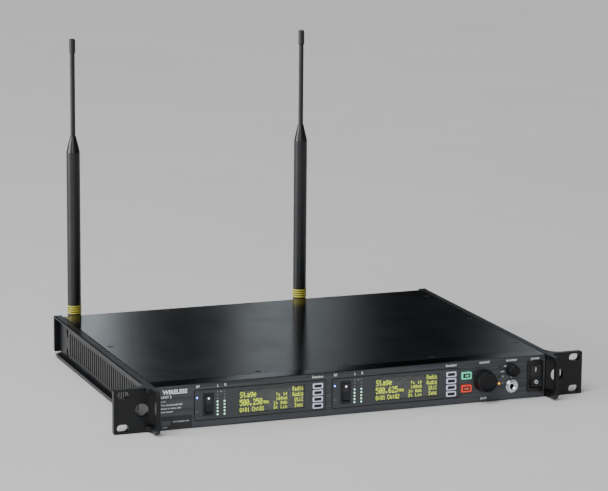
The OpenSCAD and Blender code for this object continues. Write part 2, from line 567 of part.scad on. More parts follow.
module antenna_2_whip() whip(ant2_x);

chassis_pan();
top_cover();
rear_panel();
front_panel();
side_frame_left();
side_frame_right();
cover_screws();
side_screws();
channel_1_bezel();
channel_2_bezel();
display_window_1();
display_window_2();
display_module_1();
display_module_2();
rf_switch_1_body();
rf_switch_2_body();
rf_switch_1_rocker();
rf_switch_2_rocker();
panel_leds();
channel_1_button_a();
channel_1_button_b();
channel_1_button_c();
channel_1_button_d();
channel_2_button_a();
channel_2_button_b();
channel_2_button_c();
channel_2_button_d();
enter_button();
exit_button();
control_encoder();
control_shaft();
control_knob();
monitor_pot();
monitor_shaft();
monitor_knob();
headphone_jack();
headphone_nut();
power_switch_body();
power_rocker();
front_board();
main_board();
power_supply();
rf_shields();
board_standoffs();
ac_inlet();
ac_outlet();
ethernet_ports();
audio_inputs();
loop_outputs();
antenna_sockets();
antenna_1_collar();
antenna_1_knuckle();
antenna_1_sleeve();
antenna_1_bands();
antenna_1_whip();
antenna_2_collar();
antenna_2_knuckle();
antenna_2_sleeve();
antenna_2_bands();
antenna_2_whip();
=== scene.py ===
import bpy, bmesh, math
from mathutils import Matrix, Vector


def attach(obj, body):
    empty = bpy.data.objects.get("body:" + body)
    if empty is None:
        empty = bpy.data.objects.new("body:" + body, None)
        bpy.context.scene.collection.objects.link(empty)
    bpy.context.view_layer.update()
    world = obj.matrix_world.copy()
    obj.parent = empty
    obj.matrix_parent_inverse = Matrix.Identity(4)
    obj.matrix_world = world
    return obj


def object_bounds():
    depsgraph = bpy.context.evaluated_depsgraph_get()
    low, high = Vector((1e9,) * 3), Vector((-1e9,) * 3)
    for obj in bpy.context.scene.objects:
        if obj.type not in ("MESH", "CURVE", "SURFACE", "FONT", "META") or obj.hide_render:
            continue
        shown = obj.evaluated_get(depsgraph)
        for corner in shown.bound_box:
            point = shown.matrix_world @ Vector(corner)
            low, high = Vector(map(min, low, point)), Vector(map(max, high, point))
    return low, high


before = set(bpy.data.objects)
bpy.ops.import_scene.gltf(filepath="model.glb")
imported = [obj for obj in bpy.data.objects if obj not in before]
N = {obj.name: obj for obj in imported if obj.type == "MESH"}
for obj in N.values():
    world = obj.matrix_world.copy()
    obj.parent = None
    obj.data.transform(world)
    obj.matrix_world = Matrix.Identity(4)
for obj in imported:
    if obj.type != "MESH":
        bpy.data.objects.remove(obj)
cad_box = [list(v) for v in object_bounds()]
MM = 0.001

# ------------------------------------------------------------------ camera
# the row frame's X right, Y back, Z up; the view is from the front left and a little above
yaw, pitch, roll = math.radians(20.83), math.radians(11.37), math.radians(0.466)
f = Vector((math.sin(yaw) * math.cos(pitch), math.cos(yaw) * math.cos(pitch), -math.sin(pitch)))
r = Vector((math.cos(yaw), -math.sin(yaw), 0))
u = r.cross(f)
r2 = math.cos(roll) * r + math.sin(roll) * u
u2 = -math.sin(roll) * r + math.cos(roll) * u
cam_data = bpy.data.cameras.new("camera")
cam = bpy.data.objects.new("camera", cam_data)
bpy.context.scene.collection.objects.link(cam)
cam_data.sensor_width = 36
cam_data.lens = 36 * 2742.87 / 608
cam_data.clip_start, cam_data.clip_end = 0.05, 200
m = Matrix.Identity(4)
for i in range(3):
    m[i][0], m[i][1], m[i][2] = r2[i], u2[i], -f[i]
m.translation = Vector((-0.95357, -2.37011, 0.65534))
cam.matrix_world = m
bpy.context.scene.camera = cam


# ------------------------------------------------------------------ material tools
class Mat:
    """A node material around one Principled shader, with short calls for the usual procedural steps."""

    def __init__(self, name):
        self.m = bpy.data.materials.new(name)
        self.m.use_nodes = True
        self.t = self.m.node_tree
        self.t.nodes.clear()
        self.out = self.n("ShaderNodeOutputMaterial")
        self.b = self.n("ShaderNodeBsdfPrincipled")
        self.t.links.new(self.b.outputs[0], self.out.inputs[0])
        self.co = self.n("ShaderNodeTexCoord").outputs["Object"]

    def n(self, kind, **props):
        node = self.t.nodes.new(kind)
        for k, v in props.items():
            setattr(node, k, v)
        return node

    def put(self, sock, v):
        if isinstance(v, bpy.types.NodeSocket):
            self.t.links.new(v, sock)
        elif isinstance(v, (tuple, list)):
            sock.default_value = tuple(v) + (1,) * (len(sock.default_value) - len(v))
        else:
            sock.default_value = v

    def set(self, **kw):
        for k, v in kw.items():
            self.put(self.b.inputs[k.replace("_", " ")], v)
        return self

    def scaled(self, x, y, z, at=(0, 0, 0)):
        node = self.n("ShaderNodeMapping")
        self.put(node.inputs["Vector"], self.co)
        node.inputs["Scale"].default_value = (x, y, z)
        node.inputs["Location"].default_value = at
        return node.outputs[0]

    def noise(self, scale, detail=3, rough=0.55, co=None, distort=0):
        node = self.n("ShaderNodeTexNoise")
        self.put(node.inputs["Vector"], co or self.co)
        node.inputs["Scale"].default_value = scale
        node.inputs["Detail"].default_value = detail
        node.inputs["Roughness"].default_value = rough
        node.inputs["Distortion"].default_value = distort
        return node.outputs["Fac"]

    def voronoi(self, scale, co=None, feature="F1"):
        node = self.n("ShaderNodeTexVoronoi", feature=feature)
        self.put(node.inputs["Vector"], co or self.co)
        node.inputs["Scale"].default_value = scale
        return node.outputs["Distance"]

    def span(self, v, a, b, c, d):
        node = self.n("ShaderNodeMapRange")
        for s, x in zip(("Value", "From Min", "From Max", "To Min", "To Max"), (v, a, b, c, d)):
            self.put(node.inputs[s], x)
        return node.outputs[0]

    def math(self, op, a, b=0.0, c=0.0, clamp=False):
        node = self.n("ShaderNodeMath", operation=op, use_clamp=clamp)
        for s, x in zip(node.inputs, (a, b, c)):
            self.put(s, x)
        return node.outputs[0]

    def mix(self, fac, a, b):
        node = self.n("ShaderNodeMix", data_type="RGBA")
        self.put(node.inputs[0], fac)
        self.put(node.inputs[6], a)
        self.put(node.inputs[7], b)
        return node.outputs[2]

    def xyz(self):
        node = self.n("ShaderNodeSeparateXYZ")
        self.put(node.inputs[0], self.co)
        return node.outputs

    def bump(self, height, strength, dist, base=None):
        node = self.n("ShaderNodeBump")
        node.inputs["Strength"].default_value = strength
        node.inputs["Distance"].default_value = dist
        self.put(node.inputs["Height"], height)
        if base is not None:
            self.put(node.inputs["Normal"], base)
        self.put(self.b.inputs["Normal"], node.outputs[0])
        return node.outputs[0]

    def edges(self):
        """How sharply the surface turns at a point, from its pointiness: 0 on flat faces, 1 on sharp edges."""
        return self.span(self.n("ShaderNodeNewGeometry").outputs["Pointiness"], 0.52, 0.60, 0, 1)


def paint(name, dark, light, r0, r1, grain=2600, depth=0.000012, strength=0.35, spec=0.5, edge_lightening=0.0, metal=0.0):
    """Powder coat or moulded plastic: a fine grain, slow colour drift and a roughness that follows both."""
    a = Mat(name)
    slow, fine = a.noise(22, 4), a.noise(grain, 2, 0.6)
    base = a.mix(a.span(slow, 0.3, 0.7, 0, 1), dark, light)
    if edge_lightening:
        # lighter colour in noisy patches where the surface turns sharply
        lighter_edge_mask = a.math("MULTIPLY", a.edges(), a.span(a.noise(160, 4, 0.7), 0.45, 0.75, 0, edge_lightening), clamp=True)
        base = a.mix(lighter_edge_mask, base, tuple(min(1, 4.5 * c + 0.02) for c in light))
    mottled = a.math("ADD", a.math("MULTIPLY", slow, 0.65), a.math("MULTIPLY", fine, 0.35))
    a.set(Base_Color=base, Roughness=a.span(mottled, 0.3, 0.7, r0, r1), Metallic=metal)
    a.b.inputs["Specular IOR Level"].default_value = spec
    a.bump(fine, strength, depth)
    return a


def brushed(name, dark, light, r0, r1, stretch, metal, spec=0.5, depth=0.000006):
    """Metal brushed along the axis whose stretch is the smallest."""
    a = Mat(name)
    lines = a.noise(1, 5, 0.62, a.scaled(*stretch))
    broad = a.noise(1, 3, 0.5, a.scaled(*(s * 0.12 for s in stretch)))
    both = a.math("ADD", a.math("MULTIPLY", lines, 0.7), a.math("MULTIPLY", broad, 0.3))
    a.set(Base_Color=a.mix(a.span(both, 0.32, 0.68, 0, 1), dark, light), Roughness=a.span(both, 0.3, 0.7, r0, r1), Metallic=metal)
    a.b.inputs["Specular IOR Level"].default_value = spec
    a.bump(lines, 0.4, depth)
    return a


def glow(name, colour, strength, base=None, rough=0.35, grain=900):
    """An emitting surface with a slight mottle: real light for the lit display text and switch dot, painted glow for
    the keys and key signs, which hold no lamp.
    """
    a = Mat(name)
    v = a.span(a.noise(grain, 3), 0.3, 0.7, 0.86, 1.08)
    a.set(Base_Color=a.mix(v, tuple(c * 0.8 for c in (base or colour)), base or colour), Roughness=a.span(v, 0.86, 1.08, rough - 0.06, rough + 0.08))
    a.put(a.b.inputs["Emission Color"], colour)
    a.put(a.b.inputs["Emission Strength"], a.math("MULTIPLY", v, strength))
    a.bump(v, 0.15, 0.00001)
    return a


def cover(node, a):
    o = N[node]
    o.data.materials.clear()
    o.data.materials.append(a.m)


# ------------------------------------------------------------------ materials
cover_paint = paint("cover_paint", (0.0028, 0.0034, 0.0042), (0.0038, 0.0045, 0.0054), 0.150, 0.218, grain=1050, depth=0.000005, strength=0.2)
frame_cast = paint("frame_cast", (0.0046, 0.0051, 0.0060), (0.0072, 0.0078, 0.0090), 0.28, 0.40, grain=2400, depth=0.000008, edge_lightening=0.12, spec=0.36)
pan_steel = paint("pan_steel", (0.012, 0.0125, 0.014), (0.018, 0.019, 0.021), 0.34, 0.46, grain=2600)
panel_anodised = brushed("panel_anodised", (0.037, 0.041, 0.046), (0.116, 0.125, 0.136), 0.30, 0.50, (16, 1100, 1100), 0.55, depth=0.00002)
pz = panel_anodised.xyz()[2]
land = panel_anodised.math("GREATER_THAN", pz, 0.0205)
for key, v in (("Base Color", (0.055, 0.059, 0.064, 1)), ("Roughness", 0.13), ("Metallic", 1.0)):
    sock = panel_anodised.b.inputs[key]
    was = sock.links[0].from_socket if sock.links else sock.default_value
    if key == "Base Color":
        sock_new = panel_anodised.mix(land, was, v)
    else:
        sock_new = panel_anodised.math("ADD", panel_anodised.math("MULTIPLY", panel_anodised.math("SUBTRACT", 1.0, land), was), panel_anodised.math("MULTIPLY", land, v))
    panel_anodised.put(sock, sock_new)
bezel_black = paint("bezel_black", (0.041, 0.045, 0.050), (0.053, 0.057, 0.062), 0.36, 0.46, grain=3000, depth=0.000006)
gloss_black = paint("gloss_black", (0.0040, 0.0043, 0.0050), (0.0060, 0.0064, 0.0070), 0.24, 0.34, grain=3000, depth=0.000005)
black_plastic = paint("black_plastic", (0.011, 0.0115, 0.0125), (0.017, 0.018, 0.019), 0.36, 0.50, grain=2800, depth=0.000012, strength=0.45)
rocker_grey = paint("rocker_grey", (0.016, 0.017, 0.019), (0.024, 0.025, 0.028), 0.34, 0.46, grain=2800, depth=0.00001)
knob_rubber = paint("knob_rubber", (0.0040, 0.0044, 0.0052), (0.0064, 0.0069, 0.0080), 0.34, 0.46, grain=3400, depth=0.00001, strength=0.4, spec=0.3)
whip_rubber = paint("whip_rubber", (0.0085, 0.009, 0.0105), (0.0135, 0.0142, 0.0158), 0.30, 0.42, grain=2600, depth=0.000012, strength=0.5)
screw_black = brushed("screw_black", (0.009, 0.009, 0.010), (0.022, 0.023, 0.025), 0.24, 0.38, (1400, 1400, 1400), 0.5)
bright_steel = brushed("bright_steel", (0.42, 0.43, 0.45), (0.60, 0.61, 0.63), 0.22, 0.38, (1800, 90, 1800), 1.0)
nickel = brushed("nickel", (0.66, 0.67, 0.69), (0.86, 0.87, 0.88), 0.12, 0.26, (700, 700, 700), 1.0, depth=0.000003)
tin_plate = brushed("tin_plate", (0.40, 0.41, 0.42), (0.56, 0.57, 0.58), 0.30, 0.46, (140, 1600, 1600), 1.0)

# clear window: thin, with a faint haze
win = Mat("clear_window")
win.set(Base_Color=(0.03, 0.034, 0.034), Roughness=win.span(win.noise(260, 4), 0.3, 0.7, 0.10, 0.17), Alpha=0.12)
win.bump(win.noise(120, 3), 0.1, 0.000004)

# display: a matt grey dot-matrix glass with a fine cell grid
disp = Mat("display_glass")
X, Y, Z = disp.xyz()
cell = disp.math("MAXIMUM", disp.math("GREATER_THAN", disp.math("FRACT", disp.math("MULTIPLY", X, 2800)), 0.86),
                 disp.math("GREATER_THAN", disp.math("FRACT", disp.math("MULTIPLY", Z, 2800)), 0.86))
tone = disp.mix(disp.span(disp.noise(45, 3), 0.3, 0.7, 0, 1), (0.146, 0.154, 0.152), (0.170, 0.178, 0.176))
disp.set(Base_Color=disp.mix(disp.math("MULTIPLY", cell, 0.35), tone, (0.06, 0.064, 0.062)), Roughness=disp.span(cell, 0, 1, 0.42, 0.55))
disp.bump(cell, 0.1, 0.000004)

text_lit = glow("display_lit", (0.60, 0.76, 0.015), 2.3, rough=0.4, grain=1500)
dot_lit = glow("dot_lit", (0.80, 0.86, 1.0), 1.6, base=(0.8, 0.82, 0.85))
print_white = paint("print_white", (0.80, 0.81, 0.83), (0.92, 0.93, 0.94), 0.42, 0.55, grain=3000, depth=0.000003)
print_grey = paint("print_grey", (0.30, 0.31, 0.32), (0.38, 0.39, 0.40), 0.45, 0.58, grain=3000, depth=0.000003)
plate_dark = paint("plate_dark", (0.016, 0.017, 0.019), (0.021, 0.022, 0.024), 0.40, 0.52, grain=2600, depth=0.000005)
plate_grey = paint("plate_grey", (0.060, 0.064, 0.068), (0.074, 0.078, 0.082), 0.42, 0.54, grain=2600, depth=0.000005)
# painted glow: the function keys, the enter and exit keys and the signs on them are given emission to look brighter,
# though no lamp lights them
key_lilac = glow("key_lilac", (0.62, 0.63, 0.84), 0.42, base=(0.62, 0.61, 0.74))
key_green = glow("key_green", (0.09, 0.76, 0.42), 0.54, base=(0.15, 0.60, 0.40))
key_red = glow("key_red", (0.95, 0.055, 0.02), 0.50, base=(0.60, 0.05, 0.03))
green_bar_painted_glow = glow("green_bar_painted_glow", (0.20, 0.72, 0.46), 0.30, base=(0.22, 0.55, 0.38))
red_bar_painted_glow = glow("red_bar_painted_glow", (0.85, 0.15, 0.08), 0.32, base=(0.60, 0.14, 0.09))
band_yellow = paint("band_yellow", (0.48, 0.44, 0.045), (0.62, 0.58, 0.075), 0.32, 0.44, grain=2400, depth=0.000008)
copper_gold = brushed("copper_gold", (0.72, 0.46, 0.16), (0.90, 0.62, 0.26), 0.20, 0.34, (1500, 300, 1500), 1.0)

# circuit boards: solder mask with tracks and pads
def board(name, mask, track):
    a = Mat(name)
    lanes = a.span(a.voronoi(150, a.scaled(1, 0.35, 1), "DISTANCE_TO_EDGE"), 0.03, 0.05, 1, 0)
    pads = a.span(a.voronoi(260), 0.10, 0.13, 1, 0)
    base = a.mix(lanes, mask, track)
    a.set(Base_Color=a.mix(pads, base, (0.62, 0.60, 0.52)), Metallic=a.math("MULTIPLY", pads, 0.8), Roughness=a.span(a.noise(600), 0.3, 0.7, 0.28, 0.42))
    a.bump(a.math("ADD", lanes, pads), 0.4, 0.00003)
    return a


circuit_board = board("circuit_board", (0.012, 0.070, 0.034), (0.022, 0.115, 0.055))
supply_board = board("supply_board", (0.15, 0.11, 0.045), (0.28, 0.19, 0.08))

# light pipes: each lens takes its colour and brightness from where it stands on the panel
leds = Mat("led_lens")
X, Y, Z = leds.xyz()


def near(a, v, at, tol):
    return a.math("LESS_THAN", a.math("ABSOLUTE", a.math("SUBTRACT", v, at)), tol)


def either(a, *v):
    out = v[0]
    for x in v[1:]:
        out = a.math("MAXIMUM", out, x)
    return out


def both(a, *v):
    out = v[0]
    for x in v[1:]:
        out = a.math("MULTIPLY", out, x)
    return out


bez = (-0.1622, -0.0235)
status = either(leds, *(near(leds, X, b + 0.0023, 0.0012) for b in bez))
levels = either(leds, *(near(leds, X, b + c, 0.0012) for b in bez for c in (0.02265, 0.0296)))
blue = both(leds, status, near(leds, Z, 0.0076, 0.002))
low = both(leds, levels, leds.math("LESS_THAN", Z, 0.0042))
amber = both(leds, near(leds, X, 0.1516, 0.0015), near(leds, Z, -0.0043, 0.002))
sheer = leds.noise(1600, 3)
tint = leds.mix(blue, leds.mix(amber, leds.mix(low, (0.0, 0.0, 0.0), (0.46, 1.0, 0.66)), (1.0, 0.42, 0.0)), (0.07, 0.20, 1.0))
body_tint = leds.mix(either(leds, blue, low), leds.mix(amber, (0.16, 0.165, 0.17), (0.75, 0.34, 0.01)), (0.70, 0.82, 0.82))
dark_top = near(leds, X, 0.1516, 0.0015)
body_tint = leds.mix(both(leds, dark_top, leds.math("GREATER_THAN", Z, 0)), body_tint, (0.012, 0.012, 0.013))
leds.set(Base_Color=body_tint, Roughness=leds.span(sheer, 0.3, 0.7, 0.22, 0.34))
leds.put(leds.b.inputs["Emission Color"], tint)
power = leds.math("ADD", leds.math("MULTIPLY", low, 1.5), leds.math("ADD", leds.math("MULTIPLY", blue, 7.0), leds.math("MULTIPLY", amber, 1.9)))
leds.put(leds.b.inputs["Emission Strength"], leds.math("MULTIPLY", power, leds.span(sheer, 0.3, 0.7, 0.85, 1.1)))
leds.bump(sheer, 0.1, 0.00001)

USE = {
    "top_cover": cover_paint, "chassis_pan": pan_steel, "rear_panel": pan_steel, "front_panel": panel_anodised,
    "side_frame_left": frame_cast, "side_frame_right": frame_cast, "cover_screws": screw_black, "side_screws": bright_steel,
    "channel_1_bezel": bezel_black, "channel_2_bezel": bezel_black, "display_window_1": win, "display_window_2": win,
    "display_module_1": disp, "display_module_2": disp, "rf_switch_1_body": gloss_black, "rf_switch_2_body": gloss_black,
    "rf_switch_1_rocker": rocker_grey, "rf_switch_2_rocker": rocker_grey, "panel_leds": leds,
    "enter_button": key_green, "exit_button": key_red, "control_encoder": tin_plate, "monitor_pot": tin_plate,
    "control_shaft": bright_steel, "monitor_shaft": bright_steel, "control_knob": knob_rubber, "monitor_knob": knob_rubber,
    "headphone_jack": nickel, "headphone_nut": nickel, "power_switch_body": gloss_black, "power_rocker": rocker_grey,
    "front_board": circuit_board, "main_board": circuit_board, "power_supply": supply_board, "rf_shields": tin_plate,
    "board_standoffs": tin_plate, "ac_inlet": black_plastic, "ac_outlet": black_plastic, "ethernet_ports": tin_plate,
    "audio_inputs": black_plastic, "loop_outputs": black_plastic, "antenna_sockets": nickel,
}
for c in (1, 2):
    for k in "abcd":
        USE[f"channel_{c}_button_{k}"] = key_lilac
    USE[f"antenna_{c}_collar"] = bright_steel
    USE[f"antenna_{c}_knuckle"] = black_plastic
    USE[f"antenna_{c}_sleeve"] = whip_rubber
    USE[f"antenna_{c}_whip"] = whip_rubber
    USE[f"antenna_{c}_bands"] = band_yellow
for n in N:
    cover(n, USE[n])


# ------------------------------------------------------------------ edge rounding on the CAD pieces
def soften(node, width, segments=2, angle=32):
    o = N[node]
    w = o.modifiers.new("weld", "WELD")
    w.merge_threshold = 0.000002
    b = o.modifiers.new("round", "BEVEL")
    b.width = width
    b.segments = segments
    b.limit_method = "ANGLE"
    b.angle_limit = math.radians(angle)
    b.use_clamp_overlap = True
    b.harden_normals = False
    for p in o.data.polygons:
        p.use_smooth = True
    n = o.modifiers.new("even", "WEIGHTED_NORMAL")
    n.keep_sharp = False
    n.weight = 60


for n, w in {"side_frame_left": 0.0004, "side_frame_right": 0.0004, "front_panel": 0.00018, "top_cover": 0.0002,
             "channel_1_bezel": 0.00015, "channel_2_bezel": 0.00015, "power_switch_body": 0.00025,
             "rf_switch_1_body": 0.0002, "rf_switch_2_body": 0.0002, "power_rocker": 0.00035,
             "rf_switch_1_rocker": 0.0003, "rf_switch_2_rocker": 0.0003, "enter_button": 0.00025, "exit_button": 0.00025,
             "ac_inlet": 0.0003, "ac_outlet": 0.0003, "rear_panel": 0.00015, "chassis_pan": 0.00015, "ethernet_ports": 0.00015,
             **{f"channel_{c}_button_{k}": 0.0002 for c in (1, 2) for k in "abcd"}}.items():
    soften(n, w)


# ------------------------------------------------------------------ mesh tools for the added pieces
def link(name, mesh, mat, body="root"):
    o = bpy.data.objects.new(name, mesh)
    bpy.context.scene.collection.objects.link(o)
    o.data.materials.append(mat.m)
    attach(o, body)
    return o


def prism(bm, outline, y0, y1):
    """Closed prism from an outline in X and Z (anticlockwise seen from the front), y0 nearer the viewer."""
    a = [bm.verts.new((x, y0, z)) for x, z in outline]
    b = [bm.verts.new((x, y1, z)) for x, z in outline]
    k = len(outline)
    bm.faces.new(a)
    bm.faces.new(b[::-1])
    for i in range(k):
        j = (i + 1) % k
        bm.faces.new((a[j], a[i], b[i], b[j]))


def rounded(cx, cz, w, h, r, steps=4):
    pts = []
    for sx, sz, a0 in ((1, 1, 0), (-1, 1, 90), (-1, -1, 180), (1, -1, 270)):
        for i in range(steps + 1):
            a = math.radians(a0 + 90 * i / steps)
            pts.append((cx + sx * (w / 2 - r) + r * math.cos(a), cz + sz * (h / 2 - r) + r * math.sin(a)))
    return pts


def disc(cx, cz, r, n=20):
    return [(cx + r * math.cos(2 * math.pi * i / n), cz + r * math.sin(2 * math.pi * i / n)) for i in range(n)]


def finish_mesh(bm, name, scale=MM):
    bmesh.ops.recalc_face_normals(bm, faces=bm.faces)
    if scale != 1:
        bmesh.ops.scale(bm, vec=(scale,) * 3, verts=bm.verts)
    me = bpy.data.meshes.new(name)
    bm.to_mesh(me)
    bm.free()
    return me


def plates(name, mat, outlines, y0, y1, body="root", turn=None):
    """One piece made of several thin prisms, in millimetres."""
    bm = bmesh.new()
    for o in outlines:
        prism(bm, o, y0, y1)
    me = finish_mesh(bm, name)
    if turn is not None:
        me.transform(turn)
    return link(name, me, mat, body)


def words(items, name, mat, y, body="root", turn=None, thick=0.02, bold=0.020):
    """Small printed words on a face towards the viewer: items are (text, x, z, size, align) in millimetres."""
    parts = []
    for i, (text, x, z, size, align) in enumerate(items):
        cu = bpy.data.curves.new(f"{name}_{i}", "FONT")
        cu.body, cu.size, cu.align_x, cu.align_y = text, size, align, "CENTER"
        cu.extrude = thick / 2
        cu.resolution_u = 3
        cu.offset = bold * size
        tmp = bpy.data.objects.new(f"{name}_{i}", cu)
        bpy.context.scene.collection.objects.link(tmp)
        bpy.context.view_layer.update()
        me = bpy.data.meshes.new_from_object(tmp.evaluated_get(bpy.context.evaluated_depsgraph_get()))
        me.transform(Matrix.Translation((x, y, z)) @ Matrix.Rotation(math.radians(90), 4, "X"))
        parts.append(me)
        bpy.data.objects.remove(tmp)
        bpy.data.curves.remove(cu)
    bm = bmesh.new()
    for me in parts:
        bm.from_mesh(me)
        bpy.data.meshes.remove(me)
    bmesh.ops.remove_doubles(bm, verts=bm.verts, dist=0.0005)
    bmesh.ops.dissolve_degenerate(bm, dist=0.0002, edges=bm.edges)
    me = finish_mesh(bm, name)
    if turn is not None:
        me.transform(turn)
    me.materials.clear()
    return link(name, me, mat, body)


pf = -5.0
bez_x = (-162.2, -23.5)

# ------------------------------------------------------------------ display pictures
# 5 x 7 dot characters, one number for each column, lowest bit at the top
DOTS = {
    " ": "0000000000", "-": "0808080808", ".": "0060600000", ":": "0036360000", "0": "3E5149453E", "1": "00427F4000",
    "2": "4261514946", "3": "2141454B31", "4": "1814127F10", "5": "2745454539", "6": "3C4A494930", "7": "0171090503",
    "8": "3649494936", "9": "064949291E", "A": "7E1111117E", "C": "3E41414122", "G": "3E4149497A", "H": "7F0808087F", "I": "00417F4100",
    "L": "7F40404040", "M": "7F020C027F", "N": "7F0408107F", "R": "7F09192946", "S": "4649494931", "T": "01017F0101",
    "U": "3F4040403F", "V": "1F2040201F", "W": "3F4038403F", "a": "2054545478", "b": "7F48444438", "c": "3844444420",
    "d": "384444487F", "e": "3854545418", "g": "0C5252523E", "h": "7F08040478", "i": "00447D4000", "k": "7F10284400",
    "l": "00417F4000", "m": "7C04180478", "n": "7C08040478", "o": "3844444438", "p": "7C14141408", "r": "7C08040408",
    "s": "4854545420", "t": "043F444020", "u": "3C4040207C", "v": "1C2040201C", "x": "4428102844", "y": "0C5050503C",
    "z": "4464544C44",
}


def dots(bm, text, left, top, cw, ch, x0, z0, y, right=False, gap=0.14, pitch=6):
    """Lit cells of a line of text; left and top are from the display's corner. Each lit cell is its own small prism."""
    width = (len(text) * pitch - pitch + 5) * cw
    at = left - width if right else left
    for c in text:
        cols = [int(DOTS[c][2 * i:2 * i + 2], 16) for i in range(5)]
        for row in range(7):
            for i in range(5):
                if cols[i] >> row & 1:
                    a, b = at + i * cw, at + (i + 1) * cw
                    t, d = top + row * ch, top + (row + 1) * ch
                    g = gap * min(cw, ch) / 2
                    prism(bm, [(x0 + a + g, z0 - d + g), (x0 + b - g, z0 - d + g), (x0 + b - g, z0 - t - g), (x0 + a + g, z0 - t - g)], y - 0.03, y)
        at += pitch * cw


for c in (0, 1):
    bm = bmesh.new()
    x0, z0, y = bez_x[c] + 77.3 - 33.2, 0.1 + 11.4, pf + 0.995
    dots(bm, "Stage", 1.4, 2.4, 0.56, 0.78, x0, z0, y)
    dots(bm, ("500.250", "500.625")[c], 1.2, 9.8, 0.55, 0.86, x0, z0, y)
    dots(bm, "MHz", 25.0, 12.4, 0.32, 0.42, x0, z0, y)
    dots(bm, "G:01", 1.2, 17.8, 0.40, 0.60, x0, z0, y, pitch=6.4)
    dots(bm, ("Ch:01", "Ch:02")[c], 13.4, 17.6, 0.40, 0.62, x0, z0, y, pitch=6.4)
    for i, t in enumerate(("Tx 14", "100mW", "In 0db", "St Lin")):
        dots(bm, t, 48.8, 6.0 + i * 4.15, 0.33, 0.44, x0, z0, y, right=True, gap=0.1, pitch=7.2)
    for i, t in enumerate(("Radio", "Audio", "Util", "Sync")):
        dots(bm, t, 64.9, 1.3 + i * 5.35, 0.32, 0.58, x0, z0, y, right=True, gap=0.1, pitch=7)
    link(f"display_{c + 1}_text", finish_mesh(bm, f"display_{c + 1}_text"), text_lit, "root")

# ------------------------------------------------------------------ printing on the front panel
labels = []
for b in bez_x:
    labels += [("RF", b + 3.2, 18.1, 3.3, "CENTER"), ("L", b + 23.2, 17.7, 3.5, "CENTER"), ("R", b + 30.6, 17.9, 3.5, "CENTER"),
               ("function", b + 123.6, 18.0, 3.5, "CENTER")]
labels += [("control", 135.3, 18.4, 3.6, "CENTER"), ("push", 135.2, -17.4, 3.5, "CENTER"), ("monitor", 164.6, 18.3, 3.6, "CENTER"),
           ("power", 190.0, 18.1, 3.6, "CENTER"), ("clip", 157.6, 12.9, 2.2, "CENTER"), ("push", 155.0, 7.6, 2.1, "CENTER"),
           ("2", 155.4, 2.6, 2.2, "CENTER"), ("1", 155.4, -4.3, 2.2, "CENTER")]
words(labels, "panel_labels", print_white, pf - 0.012)
words([("clip", b + 26.2, 12.0, 1.9, "CENTER") for b in bez_x], "bezel_labels", print_grey, pf - 0.512)

# plain words in place of the maker's block
words([("WIRELESS", -181.4, 15.0, 5.6, "CENTER")], "panel_title", print_white, pf - 0.012, bold=0.042)
words([("UNIT 2", -195.4, 10.4, 3.4, "LEFT"), ("2 CH", -195.4, 6.2, 2.1, "LEFT"), ("Two channel audio link", -195.4, 2.9, 2.25, "LEFT"),
       ("stereo or mono, with", -195.4, -0.4, 2.25, "LEFT"), ("level control", -195.4, -3.7, 2.25, "LEFT")], "panel_lines", print_white, pf - 0.012)


def arc(cx, cz, r0, r1, a0, a1, n=10):
    out = [(cx + r1 * math.cos(math.radians(a0 + (a1 - a0) * i / n)), cz + r1 * math.sin(math.radians(a0 + (a1 - a0) * i / n))) for i in range(n + 1)]
    return out + [(cx + r0 * math.cos(math.radians(a1 - (a1 - a0) * i / n)), cz + r0 * math.sin(math.radians(a1 - (a1 - a0) * i / n))) for i in range(n + 1)]


plates("rating_plate", plate_dark, [rounded(-180.1, -14.2, 30.4, 11.8, 0.5)], pf - 0.12, pf - 0.001)
plates("rating_plate_patch", plate_grey, [rounded(-190.4, -14.6, 8.8, 4.4, 0.2)], pf - 0.16, pf - 0.121)
plates("rating_plate_lines", print_grey, [rounded(-182.2, -13.6, 2.6, 1.1, 0.2, 2), rounded(-176.0, -13.6, 8.2, 1.1, 0.2, 2), rounded(-169.4, -13.6, 3.4, 1.1, 0.2, 2),
       rounded(-191.4, -18.6, 4.8, 0.9, 0.2, 2)], pf - 0.16, pf - 0.121)

# headphone sign above the socket
sign = [arc(166.0, 1.5, 1.25, 1.6, 0, 180), rounded(164.6, 1.1, 0.7, 1.2, 0.2, 2), rounded(167.4, 1.1, 0.7, 1.2, 0.2, 2)]
plates("headphone_sign", print_white, sign, pf - 0.02, pf - 0.001)

# ------------------------------------------------------------------ key faces
for c in (1, 2):
    for i, k in enumerate("abcd"):
        x, z = bez_x[c - 1] + 123.6, (9.2, 2.7, -3.8, -10.3)[i]
        plates(f"channel_{c}_key_{k}_face", gloss_black, [rounded(x, z, 7.5, 2.9, 0.28)], pf - 1.06, pf - 0.79, f"channel_{c}_button_{k}")
for n, (x, z), bar in (("enter", (116.4, 6.6), green_bar_painted_glow), ("exit", (116.4, -6.3), red_bar_painted_glow)):
    plates(f"{n}_key_face", gloss_black, [rounded(x, z, 7.6, 4.1, 0.3)], pf - 1.06, pf - 0.79, f"{n}_button")
    pts = [rounded(x + 0.4, z, 4.2, 1.5, 0.2, 2)] if n == "enter" else [[(x - 2.4, z - 0.75), (x + 1.4, z - 0.75), (x + 1.4, z - 1.25), (x + 3.0, z), (x + 1.4, z + 1.25), (x + 1.4, z + 0.75), (x - 2.4, z + 0.75)]]
    plates(f"{n}_key_sign", bar, pts, pf - 1.16, pf - 1.06, f"{n}_button")


# ------------------------------------------------------------------ marks on the rockers
def on_face(px, py, pz, lean):
    """Placement of a flat mark: at a point, leaning back from upright by an angle about X."""
    return Matrix.Translation((px * MM, py * MM, pz * MM)) @ Matrix.Rotation(math.radians(lean), 4, "X")


